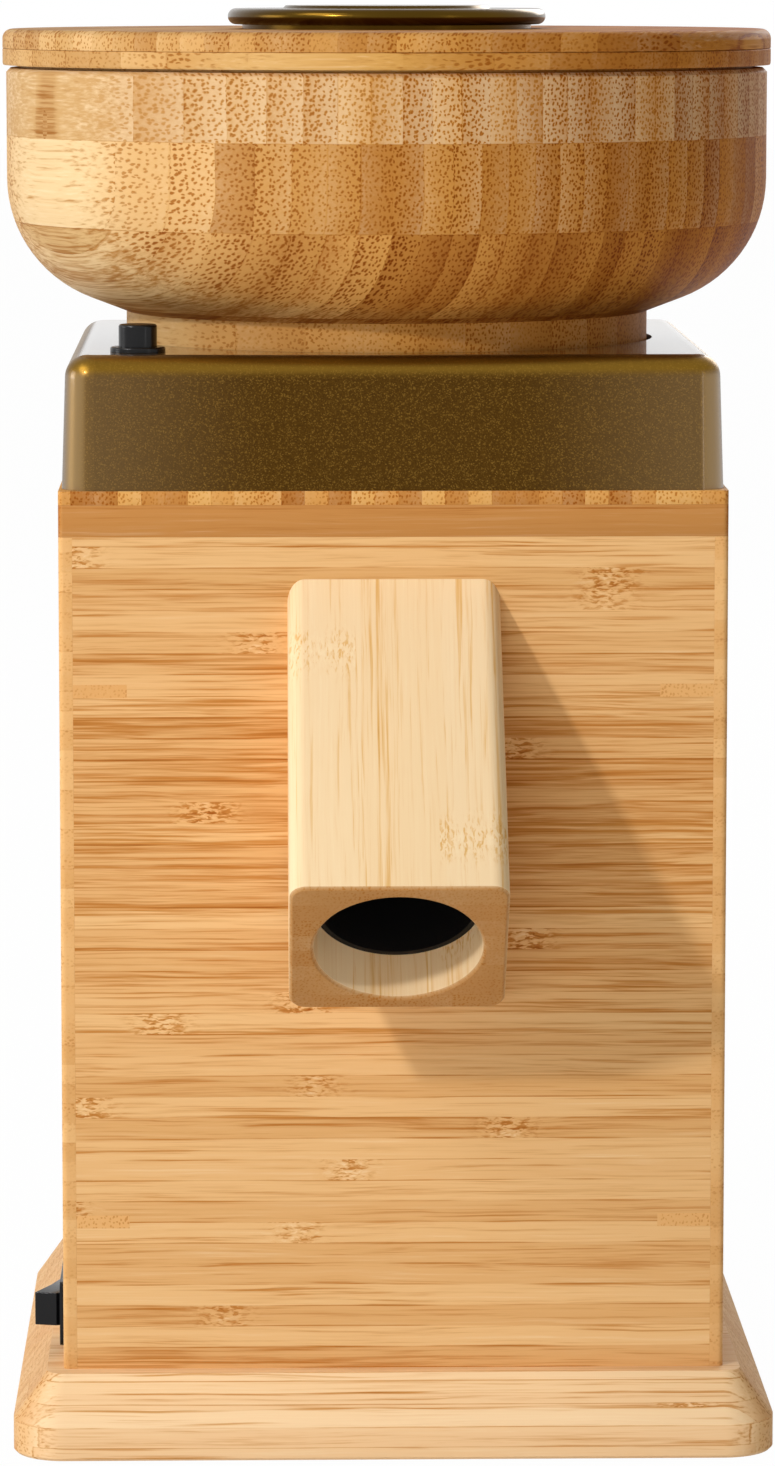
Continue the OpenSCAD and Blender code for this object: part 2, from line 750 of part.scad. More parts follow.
module hopper_ring() color("dimgray") difference() {
    rotate_extrude() polygon([
        [skirt_r - drum_wall, carrier_top], [skirt_r, carrier_top], [skirt_r, drum_z], [drum_r, drum_z],
        [drum_r, hopper_flange_z], [neck_r - 2, hopper_flange_z],
        [neck_r - 2, hopper_flange_z + flange_t], [flange_in, hopper_flange_z + flange_t],
        [flange_in, hopper_flange_z], [drum_r - drum_wall, hopper_flange_z],
        [drum_r - drum_wall, drum_z + drum_wall], [skirt_r - drum_wall, drum_z + drum_wall]]);
    neck_screw_spots() screw_hole(small_screw_r, neck_screw_l);
}

module hopper_neck() color("burlywood") difference() {
    tube(neck_r, spigot_r, neck_base, bowl_base);
    neck_screw_spots() screw_hole(small_screw_r, neck_screw_l);
}

// Half section of the bowl's outside, or of its hollow: a sloping floor, a round shoulder, a straight side
module bowl_section(r, curve_r, slope, foot, top) {
    centre = [bowl_r - bowl_curve_r, shoulder_z];
    tangent = centre + curve_r * [sin(slope), -cos(slope)];
    polygon([[0, foot.y], foot, tangent, centre, [r, shoulder_z], [r, top], [0, top]]);
    intersection() {
        translate(centre) circle(r = curve_r);
        translate([0, foot.y]) square([r + 1, shoulder_z - foot.y + curve_r / 2]);
    }
}

module hopper_bowl() color("burlywood") difference() {
    union() {
        rotate_extrude() bowl_section(bowl_r, bowl_curve_r, bowl_slope, [neck_r, bowl_base], rim_z);
        rod(spigot_r - 0.05, neck_base, bowl_base + eps);
    }
    rotate_extrude() bowl_section(bowl_r - bowl_wall, bowl_curve_r - bowl_wall, floor_slope,
        [throat_r, floor_z], rim_z + 1);
    rod(throat_r, 0, reach * 2);
    rod(throat_r + funnel_lip, floor_z - lip_h, reach);
    rim_break(bowl_r, 1);
    rim_break(bowl_r - bowl_wall, -1);
}
// A small bevel along an edge of the rim
module rim_break(r, side) rotate_extrude() translate([r, rim_z])
    rotate([0, 0, 45]) square(1.6, center = true);

module neck_screws() color("silver") neck_screw_spots()
    screw(small_screw_r, neck_screw_l, small_screw_head_r, small_screw_head_t);

module feed_funnel() color("dimgray") rotate_extrude() polygon([
    [throat_r + funnel_lip - 0.2, floor_z - lip_h], [throat_r + funnel_lip - 0.2, floor_z],
    [throat_r - 2.4, floor_z], [throat_r - 2.4, guard_z], [throat_r - 4, guard_z],
    [throat_r - 4, funnel_bend_z], [eye_r - 1, carrier_top + 8], [eye_r - 1, carrier_top + 1],
    [eye_r + 1, carrier_top + 1], [eye_r + 1, carrier_top + 8], [throat_r - 0.2, funnel_bend_z],
    [throat_r - 0.2, floor_z - lip_h]]);

module finger_guard() color("silver") {
    tube(throat_r - 2.5, throat_r - 4.4, guard_z, guard_z + 2.6);
    rod(4, guard_z, guard_z + 2.6);
    around(3, 0, 90) block(3, throat_r - 3.2, -1.3, 1.3, guard_z, guard_z + 2.6);
}

// ---- Lid ----

module lid_screw_spots() around(3, disc_face_r * 0.8, 90)
    translate([0, 0, rim_z + screw_head_t]) children();

module lid_lower_ply() color("burlywood") difference() {
    soft_ring(lid_r, 0, rim_z, rim_z + lid_ply_t, lid_low_round, 0.3);
    tube(lid_r + 1, bowl_r - 4, rim_z - 1, rim_z + lid_relief);
    lid_screw_spots() {
        screw_hole(small_screw_r, lid_screw_l);
        head_hole(screw_head_r, 0);
    }
}

module lid_upper_ply() color("tan") difference() {
    soft_ring(lid_r, 0, rim_z + lid_ply_t, lid_top, 0.3, lid_top_round);
    lid_screw_spots() screw_hole(small_screw_r, lid_screw_l);
}

module lid_ring() color("peru") soft_ring(bowl_r - bowl_wall - lid_clear,
    bowl_r - bowl_wall - lid_clear - lid_ring_w, rim_z - lid_ring_h, rim_z, 1.5, 0.3);

module lid_disc() color("darkolivegreen") difference() {
    rotate_extrude() {
        translate([0, lid_top]) square([disc_r - 4, disc_h]);
        translate([disc_r - disc_h / 2 + 0.6, lid_top + disc_h / 2 + 0.6]) circle(r = disc_h / 2 - 0.6);
        translate([0, lid_top + 1.2]) square([disc_r - disc_h / 2 + 0.6, disc_h - 1.2]);
        polygon([[0, lid_top + disc_h - eps], [disc_face_r + 0.8, lid_top + disc_h - eps],
            [disc_face_r, mill_top], [0, mill_top]]);
    }
    lid_screw_spots() screw_hole(small_screw_r, lid_screw_l);
}

module lid_screws() color("silver") lid_screw_spots() screw(small_screw_r, lid_screw_l, 3, 1.6);

// ---- Motor ----

module motor_bell() difference() {
    union() {
        rod(motor_r, 0, bell_h);
        rod(bearing_r + 4, bell_h - bearing_w - 5, bell_h);
        around(4, bolt_ring_r, 45) rod(6, bell_h - 8, bell_h);
        around(4, 0, 45) block(motor_r - 8, bolt_ring_r, -6, 6, bell_h - 8, bell_h);
    }
    difference() {
        rod(motor_r - 4, -1, bell_h - 5);
        rod(bearing_r + 4, bell_h - bearing_w - 5, bell_h);
    }
    rod(bearing_r, -1, bell_h - 2);
    rod(shaft_r + 2, -1, reach);
    around(8, 0, 22.5) block(bearing_r + 8, motor_r - 8, -4, 4, 0, reach);
    around(4, bolt_ring_r, 45) rod(screw_r + screw_gap, 0, reach);
}

module upper_bell() color("gray") translate([0, 0, motor_top - bell_h]) motor_bell();

module lower_bell() color("gray") translate([0, 0, motor_base + bell_h]) mirror([0, 0, 1]) motor_bell();

module stator_core() color("darkgray") difference() {
    rod(motor_r, stator_z, stator_z + stator_h);
    rod(rotor_r + air_gap, 0, reach);
    around(24, rotor_r + air_gap + 3) rod(1.4, 0, reach);
}

module stator_coils() color("chocolate")
    for (z = [stator_z - coil_h, stator_z + stator_h])
        soft_ring(motor_r - 7, rotor_r + 3, z, z + coil_h, coil_h / 3, coil_h / 3);

module motor_bolts() color("silver") motor_bolt_spots()
    screw(screw_r, motor_bolt_l, screw_head_r, screw_head_t);

module bearing(z) difference() {
    tube(bearing_r, shaft_r + run_fit, z, z + bearing_w);
    for (end = [z - eps, z + bearing_w - 1]) tube(bearing_r - 2.4, shaft_r + 2.4, end, end + 1 + eps);
}

module upper_bearing() color("silver") bearing(motor_top - 2 - bearing_w);

module lower_bearing() color("silver") bearing(motor_base + 2);

module motor_shaft() color("silver") {
    rod(shaft_r, shaft_base, spigot_top);
    rod(stud_r, spigot_top - eps, spigot_top + 8);
}

module rotor_core() color("darkgray") {
    tube(rotor_r, shaft_r, stator_z, stator_z + stator_h);
    tube(rotor_r - 4, rotor_r - 12, stator_z - 6, stator_z + stator_h + 6);
}

module cooling_fan() color("dimgray") {
    tube(shaft_r + 5, shaft_r, fan_z, fan_z + fan_h);
    tube(motor_r - 8, shaft_r + 4, fan_z + fan_h - 2, fan_z + fan_h);
    around(fan_blades, shaft_r + 4) rotate([0, 0, 12])
        block(0, motor_r - shaft_r - 14, -1, 1, fan_z, fan_z + fan_h);
}

// ---- Electrical parts ----

module run_capacitor() color("lightgray")
    translate([capacitor_place.x, front_in - capacitor_place.y, base_top + capacitor_r]) {
        rotate([0, 90, 0]) soft_ring(capacitor_r, 0, 0, capacitor_l, 1.5, 2.5);
        for (x = clamp_places) translate([x, 0, 0]) capacitor_clamp();
    }
module capacitor_clamp() difference() {
    union() {
        rotate([0, 90, 0]) cylinder(r = capacitor_r + 1.2, h = clamp_w);
        block(0, clamp_w, -capacitor_r - 0.9, capacitor_r + 0.9, -capacitor_r, 0);
    }
    translate([-1, 0, 0]) rotate([0, 90, 0]) cylinder(r = capacitor_r - 0.5, h = clamp_w + 2);
    block(-1, clamp_w + 1, -reach, reach, -capacitor_r - 2, -capacitor_r);
}

module terminal_block() color("ivory")
    translate([terminal_place.x, front_in - terminal_place.y, base_top]) difference() {
        cube(terminal_size);
        for (i = [0.5 : 2.5]) translate([i * terminal_size.x / 3, terminal_size.y / 2, 0]) {
            rod(2, 5, terminal_size.z + 1);
            rotate([90, 0, 0]) translate([0, 4, 0]) cylinder(r = 1.6, h = terminal_size.y + 2, center = true);
        }
    }

// The gland's own axes: z out of the back panel
module gland_frame() translate([gland_place.x, body_d / 2, base_top + gland_place.y])
    rotate([-90, 0, 0]) children();

module cord_gland() color("black") gland_frame() difference() {
    union() {
        rod(gland_r, -front_t, eps);
        translate([0, 0, -front_t - 4]) cylinder(r = gland_r + 3, h = 4, $fn = 6);
        soft_ring(gland_r + 3, 0, 0, 5, 0.3, 1.5);
    }
    rod(cord_hole_r, -reach, reach);
}

// The switch's own axes: x up, y to the back, z out of the left side
module switch_frame() translate([-body_w / 2, switch_y, switch_z]) rotate([0, -90, 0]) children();

module switch_housing() color("black") switch_frame() difference() {
    union() {
        linear_extrude(switch_flange_t) round_rect(switch_h, switch_l, 1.5);
        translate([0, 0, -switch_deep]) linear_extrude(switch_deep)
            square([switch_body_h, switch_body_l], center = true);
        for (i = [-1 : 1]) translate([-3, i * 8 - 0.4, -switch_deep - 7]) cube([6, 0.8, 7 + eps]);
    }
    translate([0, 0, -11]) linear_extrude(reach)
        square([rocker_h + 0.6, switch_pocket], center = true);
    translate([0, 0, -rocker_pivot]) rotate([0, 90, 0])
        cylinder(r = rocker_pin_r + run_fit, h = pin_span, center = true);
}

module switch_rocker() color("black") switch_frame() translate([0, 0, -rocker_pivot])
    rotate([-rocker_tilt, 0, 0]) {
        rotate([90, 0, 90]) linear_extrude(rocker_h, center = true) polygon([
            [-rocker_half, rocker_top], [0, rocker_top - 0.5], [rocker_half, rocker_top],
            [rocker_half - 0.6, 2.2], [4, -4], [-4, -4], [-rocker_half + 0.6, 2.2]]);
        rotate([0, 90, 0]) cylinder(r = rocker_pin_r, h = pin_span - 0.2, center = true);
    }

// ---- Release button ----

module button_spot() translate([button_inset - body_w / 2, button_inset - body_d / 2, 0]) children();

module release_button() color("black") button_spot() {
    soft_ring(button_r, 0, button_foot_z + 2 - eps, cover_top + collar_t + button_show, 0.1, 0.7);
    rod(button_r + 0.8, button_foot_z, button_foot_z + 2);
    rod(button_spring_r - 1.6, veneer_top + button_travel, button_foot_z + eps);
}

module button_collar() color("black") button_spot() difference() {
    union() {
        soft_ring(collar_r, 0, cover_top, cover_top + collar_t, 0.1, 0.5);
        rod(collar_sleeve_r, button_foot_z + 2, cover_top + eps);
    }
    rod(button_r + run_fit, 0, reach * 2);
}

button_coil = coil_points(button_spring_r, veneer_top + button_wire_r + spring_seat_gap,
    button_foot_z - button_wire_r - spring_seat_gap, button_turns, coil_steps);
echo(button_spring_least_gap = coil_gap(button_coil, button_wire_r, coil_steps));
module button_spring() color("silver") button_spot() coil_wire(button_coil, button_wire_r);

// ---- Assembly ----

place() base_board();
place() rubber_feet();
place() foot_screws();
place() base_screws();
place() left_panel();
place() right_panel();
place() front_panel();
place() back_panel();
place() front_keys();
place() back_keys();
place() top_board();
place() top_veneer();
place() board_screws();
place() cover();
place() cover_screws();
place() spout_block();
place() spout_sleeve();
place() spout_screws();
place() mill_chamber();
place() shaft_seal();
place() thread_ring();
place() ring_screws();
place() guide_pins();
place() lift_springs();
place() drive_disc();
place() lower_stone();
place() stone_screws();
place() stone_nut();
place() stone_carrier();
place() upper_stone();
place() carrier_screws();
place() hopper_ring();
place() hopper_neck();
place() hopper_bowl();
place() neck_screws();
place() feed_funnel();
place() finger_guard();
place() lid_lower_ply();
place() lid_upper_ply();
place() lid_ring();
place() lid_disc();
place() lid_screws();
place() upper_bell();
place() lower_bell();
place() stator_core();
place() stator_coils();
place() motor_bolts();
place() upper_bearing();
place() lower_bearing();
place() motor_shaft();
place() rotor_core();
place() cooling_fan();
place() run_capacitor();
place() terminal_block();
place() cord_gland();
place() switch_housing();
place() switch_rocker();
place() release_button();
place() button_collar();
place() button_spring();
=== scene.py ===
import json
import math

import bmesh
import bpy
from mathutils import Euler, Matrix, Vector


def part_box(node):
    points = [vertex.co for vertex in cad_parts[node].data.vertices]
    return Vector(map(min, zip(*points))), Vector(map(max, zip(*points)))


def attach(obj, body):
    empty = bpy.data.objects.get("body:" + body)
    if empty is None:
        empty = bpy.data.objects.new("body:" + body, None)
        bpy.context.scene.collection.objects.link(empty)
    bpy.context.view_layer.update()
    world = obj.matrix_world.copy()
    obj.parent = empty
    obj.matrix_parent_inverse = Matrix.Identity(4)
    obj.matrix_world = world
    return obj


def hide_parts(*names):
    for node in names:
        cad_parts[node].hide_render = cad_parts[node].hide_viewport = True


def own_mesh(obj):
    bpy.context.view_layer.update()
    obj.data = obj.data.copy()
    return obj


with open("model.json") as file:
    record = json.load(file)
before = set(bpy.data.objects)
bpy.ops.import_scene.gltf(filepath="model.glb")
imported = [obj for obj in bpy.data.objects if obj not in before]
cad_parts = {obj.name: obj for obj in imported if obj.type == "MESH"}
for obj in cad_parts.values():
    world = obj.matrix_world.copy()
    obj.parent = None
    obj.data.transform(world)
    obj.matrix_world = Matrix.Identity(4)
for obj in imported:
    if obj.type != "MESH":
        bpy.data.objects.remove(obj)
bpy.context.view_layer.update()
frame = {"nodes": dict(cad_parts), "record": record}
NODES = frame["nodes"]
BEHAVIOUR = frame["record"]["behaviour"]
BODY_OF = {node: body for body, nodes in BEHAVIOUR["bodies"].items() for node in nodes}
SLOTS = {part["node"]: part["material_slot"] for part in frame["record"]["subparts"]}
MM = 0.001

# ---- Heights and places, read from the frame ----

# Where the milling axis stands, and the middle of the cover
MILL_Y = (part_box("hopper_neck")[0].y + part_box("hopper_neck")[1].y) / 2
COVER_Y = (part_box("cover")[0].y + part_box("cover")[1].y) / 2
PANEL_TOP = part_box("front_panel")[1].z
BOWL_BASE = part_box("hopper_neck")[1].z
RIM_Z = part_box("hopper_bowl")[1].z

# ---- Camera ----

# The eye, measured from the milling axis and from the top of the panels
EYE_LEFT, EYE_BACK, EYE_UP = 36 * MM, 1688 * MM, 149.2 * MM
CAMERA_DOWN, CAMERA_RIGHT = 7.185, 1.23      # degrees
CAMERA_LENS, SENSOR_WIDTH = 148.64, 36       # millimetres
NEAREST, FARTHEST = 0.05, 100                # metres

camera_data = bpy.data.cameras.new("camera")
camera_data.lens = CAMERA_LENS
camera_data.sensor_width = SENSOR_WIDTH
camera_data.clip_start, camera_data.clip_end = NEAREST, FARTHEST
camera = bpy.data.objects.new("camera", camera_data)
camera.location = (-EYE_LEFT, MILL_Y - EYE_BACK, PANEL_TOP + EYE_UP)
camera.rotation_euler = (math.radians(90 - CAMERA_DOWN), 0, math.radians(-CAMERA_RIGHT))
bpy.context.scene.collection.objects.link(camera)
bpy.context.scene.camera = camera

# ---- Node trees: one class for a node's output, and one that adds nodes ----

# The sockets of a Mix node, which share their names: its factor, its two numbers, its two
# colours and its mixed colour
MIX_FACTOR, FIRST_NUMBER, SECOND_NUMBER, FIRST_COLOUR, SECOND_COLOUR = 0, 2, 3, 6, 7
MIXED_COLOUR = 2


def linear(red, green, blue):
    """The linear colour of a displayed colour in 0 to 255."""
    parts = [value / 255 for value in (red, green, blue)]
    return tuple(v / 12.92 if v <= 0.04045 else ((v + 0.055) / 1.055) ** 2.4 for v in parts) + (1,)


def calculation(operation):
    """An operator that adds a Math node, and its reflected form."""
    def forward(self, other):
        return self.nodes.math(operation, self, other)

    def reflected(self, other):
        return self.nodes.math(operation, other, self)

    return forward, reflected


class Value:
    """The output of a node. Arithmetic on it adds Math nodes."""

    def __init__(self, nodes, output):
        self.nodes = nodes
        self.output = output

    __add__, __radd__ = calculation("ADD")
    __sub__, __rsub__ = calculation("SUBTRACT")
    __mul__, __rmul__ = calculation("MULTIPLY")
    __truediv__, __rtruediv__ = calculation("DIVIDE")

    def math(self, operation, *others):
        return self.nodes.math(operation, self, *others)

    def floor(self):
        return self.math("FLOOR")

    def fraction(self):
        return self.math("FRACT")

    def absolute(self):
        return self.math("ABSOLUTE")

    def largest(self, other):
        return self.math("MAXIMUM", other)

    def smallest(self, other):
        return self.math("MINIMUM", other)

    def bell(self, width):
        """1 where the value is 0, falling to nothing over a few widths."""
        return (self * self * (-0.5 / width ** 2)).math("EXPONENT")

    def varied(self, spread, least):
        """A random number from 0 to 1, made to run from least over a spread."""
        return self * spread + least

    def between(self, low, high, start=0.0, end=1.0):
        """Runs smoothly from start, at low and below, to end, at high and above."""
        return self.nodes.node("ShaderNodeMapRange", {"interpolation_type": "SMOOTHSTEP"}, {
            "Value": self, "From Min": low, "From Max": high, "To Min": start, "To Max": end})


class Nodes:
    """Adds nodes to a tree, which it empties first."""

    def __init__(self, tree):
        self.tree = tree
        tree.nodes.clear()

    def node(self, kind, settings=None, inputs=None, output=0):
        """Adds a node of any type, with its settings and then its sockets' values or links."""
        made = self.tree.nodes.new(kind)
        for name, value in (settings or {}).items():
            if name == "stops":
                self.set_stops(made.color_ramp.elements, value)
            else:
                setattr(made, name, value)
        for name, value in (inputs or {}).items():
            if isinstance(value, Value):
                self.tree.links.new(value.output, made.inputs[name])
            else:
                made.inputs[name].default_value = value
        return Value(self, made.outputs[output]) if made.outputs else None

    @staticmethod
    def set_stops(elements, stops):
        while len(elements) < len(stops):
            elements.new(0.5)
        for element, (position, colour) in zip(elements, stops):
            element.position = position
            element.color = linear(*colour)

    def math(self, operation, *inputs):
        return self.node("ShaderNodeMath", {"operation": operation}, dict(enumerate(inputs)))

    def ramp(self, factor, stops):
        """A colour ramp. Its stops are positions with displayed colours."""
        return self.node("ShaderNodeValToRGB", {"stops": stops}, {"Fac": factor})

    def mix(self, factor, first, second, blend="MIX"):
        """Mixes two colours."""
        settings = {"data_type": "RGBA", "blend_type": blend, "clamp_factor": True}
        inputs = {MIX_FACTOR: factor, FIRST_COLOUR: first, SECOND_COLOUR: second}
        return self.node("ShaderNodeMix", settings, inputs, MIXED_COLOUR)

    def tinted(self, colour, tint):
        """A colour multiplied by another."""
        return self.mix(1.0, colour, tint, "MULTIPLY")

    def choice(self, second, first_number, second_number):
        """The first number, or the second where second is 1."""
        return self.node("ShaderNodeMix", {"data_type": "FLOAT"}, {
            MIX_FACTOR: second, FIRST_NUMBER: first_number, SECOND_NUMBER: second_number})

    def vector(self, x, y, z):
        return self.node("ShaderNodeCombineXYZ", {}, {"X": x, "Y": y, "Z": z})

    def parts(self, kind, whole):
        """The three parts of a vector or a colour."""
        outputs = self.node(kind, {}, {0: whole}).output.node.outputs
        return [Value(self, outputs[part]) for part in range(3)]

    def split(self, vector):
        return self.parts("ShaderNodeSeparateXYZ", vector)

    def split_colour(self, colour):
        return self.parts("ShaderNodeSeparateColor", colour)

    def normal(self):
        return self.node("ShaderNodeTexCoord", output="Normal")

    def place(self, turn=(0, 0, 0), shift=(0, 0, 0)):
        """Object coordinates in millimetres, turned in degrees and then shifted."""
        point = self.node("ShaderNodeTexCoord", output="Object")
        return self.node("ShaderNodeMapping", {"vector_type": "POINT"}, {
            "Vector": point, "Scale": (1 / MM,) * 3, "Rotation": tuple(map(math.radians, turn)),
            "Location": shift})

    def noise(self, vector, scale, detail=2.0, roughness=0.5, distortion=0.0):
        return self.node("ShaderNodeTexNoise", {}, {
            "Vector": vector, "Scale": scale, "Detail": detail, "Roughness": roughness,
            "Distortion": distortion})

    def cells(self, vector, scale, jitter=1.0, dimensions="3D", output="Distance"):
        """Cells round scattered points: the distance to the nearest point, or its own colour."""
        return self.node("ShaderNodeTexVoronoi", {"voronoi_dimensions": dimensions}, {
            "Vector": vector, "Scale": scale, "Randomness": jitter}, output)

    def random(self, vector):
        """Three random numbers that stay the same over a cell of whole numbers."""
        return self.split_colour(self.node("ShaderNodeTexWhiteNoise", {"noise_dimensions": "3D"},
                                           {"Vector": vector}, "Color"))

    def facing(self, direction):
        """1 where the surface faces along the direction or against it, and 0 where it runs
        beside it."""
        dot = self.node("ShaderNodeVectorMath", {"operation": "DOT_PRODUCT"},
                        {0: self.normal(), 1: direction}, "Value")
        return dot * dot

    def bump(self, height, distance, strength=1.0):
        return self.node("ShaderNodeBump", {}, {
            "Height": height, "Distance": distance, "Strength": strength})


class Finish(Nodes):
    """A material and the nodes that make it."""

    def __init__(self, name):
        self.material = bpy.data.materials.new(name)
        self.material.use_nodes = True
        super().__init__(self.material.node_tree)

    def surface(self, **inputs):
        """Ends it with a surface shader. Underscores in the sockets' names stand for spaces."""
        named = {name.replace("_", " "): value for name, value in inputs.items()}
        shader = self.node("ShaderNodeBsdfPrincipled", {}, named)
        self.node("ShaderNodeOutputMaterial", {}, {"Surface": shader})
        return self.material


# ---- Laminated bamboo, in millimetres ----

# How fast each pattern changes along the grain and across it
JOINT_SWAY = (0.02, 0.06)
FIBRE_WANDER = (0.018, 0.05)
FIBRE_PATH = (0.018, 1)
BUNDLE_WAVER = (0.1, 1)
KNOT_BEND = (0.16, 0.35)
KNOT_SWIRL = (0.32, 1)

# Strips and layers. A joint sways by a share of a strip, and each layer's joints are moved along
# by up to this many strips. The other numbers only keep random draws apart.
SWAY_SHARE = 0.1
JOINTS_MOVED = 7
LAYER_DRAW = 3.5
STRIP_DRAWS = (37, 91)
KNOT_DRAW = 5

# Glue lines: how they fade in and out along a joint, how wide they are between strips and
# between layers, and how deep those between layers are
FADE_ALONG, FADE_ACROSS = 0.025, 5.3
FADE_RANGE = (0.36, 0.66)
STRIP_SEAM, LAYER_SEAM = (0.05, 0.34), (0.03, 0.25)
LAYER_SEAM_DEPTH = 0.8

# Fibres: how far they wander to the side, how far more near a knot, and what each kind of
# streak adds to the shade
WANDER_REACH, BEND_REACH = 2.2, 5.0
THICK_LINES, THIN_LINES = (0.55, 0.74), (0.54, 0.72)
THIN_LINE_DEPTH = 0.4
FINE_SHARE, BROAD_SHARE, LINE_SHARE = 2.9, 1.8, 0.65

# Knots: their length along the grain, that of the pale line through them, and their flecks, which
# vary from strip to strip
KNOT_LENGTH, KNOT_LINE_LENGTH = 4.6, 1.1
FLECK_RANGE, FLECK_LEVEL = (0.4, 0.62), 0.34
FLECKS_VARY = (0.5, 0.6)
KNOT_LINE_DEPTH = 0.12

# Fibre bundles cut across: their spacing, how irregular they are, how they are stretched and
# slanted, their size, and how they vary from strip to strip
BUNDLE_GAP = 1.05
BUNDLE_JITTER = 0.75
BUNDLE_STRETCH, BUNDLE_SLANT = 0.8, 1.4
BUNDLE_EDGE = (0.08, 0.34)
BUNDLE_CROWDING = 0.1
BUNDLE_LEVEL = 0.2
BUNDLES_VARY = (0.7, 0.6)

# What is lost of the streaks and of the glue lines on the end grain, and the share of the
# bundles that still shows along the grain
STREAKS_LOST, SEAMS_LOST = 0.8, 0.5
BUNDLES_LEFT = 0.2

# The shades over which the wood turns pale, deep and deepest, and the tints of these
PALE_SHADES, DEEP_SHADES, DEEPEST_SHADES = (-0.8, 0.0), (0.0, 0.65), (0.5, 1.3)
PALE_TINT, PALE_SHARE = (255, 236, 200), 0.45
DEEPEST_TINT = (200, 164, 126)

# Painted light on a turned piece: tints from its paler left side, a painted highlight, to its
# deeper right side, painted shade
PAINTED_LIGHT_STOPS = ((0.1, (255, 255, 255)), (0.5, (250, 226, 176)), (0.95, (224, 176, 92)))

WOOD_ROUGHNESS = (0.45, 0.59)
WOOD_SPECULAR = 0.06
WOOD_BUMP, WOOD_BUMP_STRENGTH = 0.03 * MM, 0.5


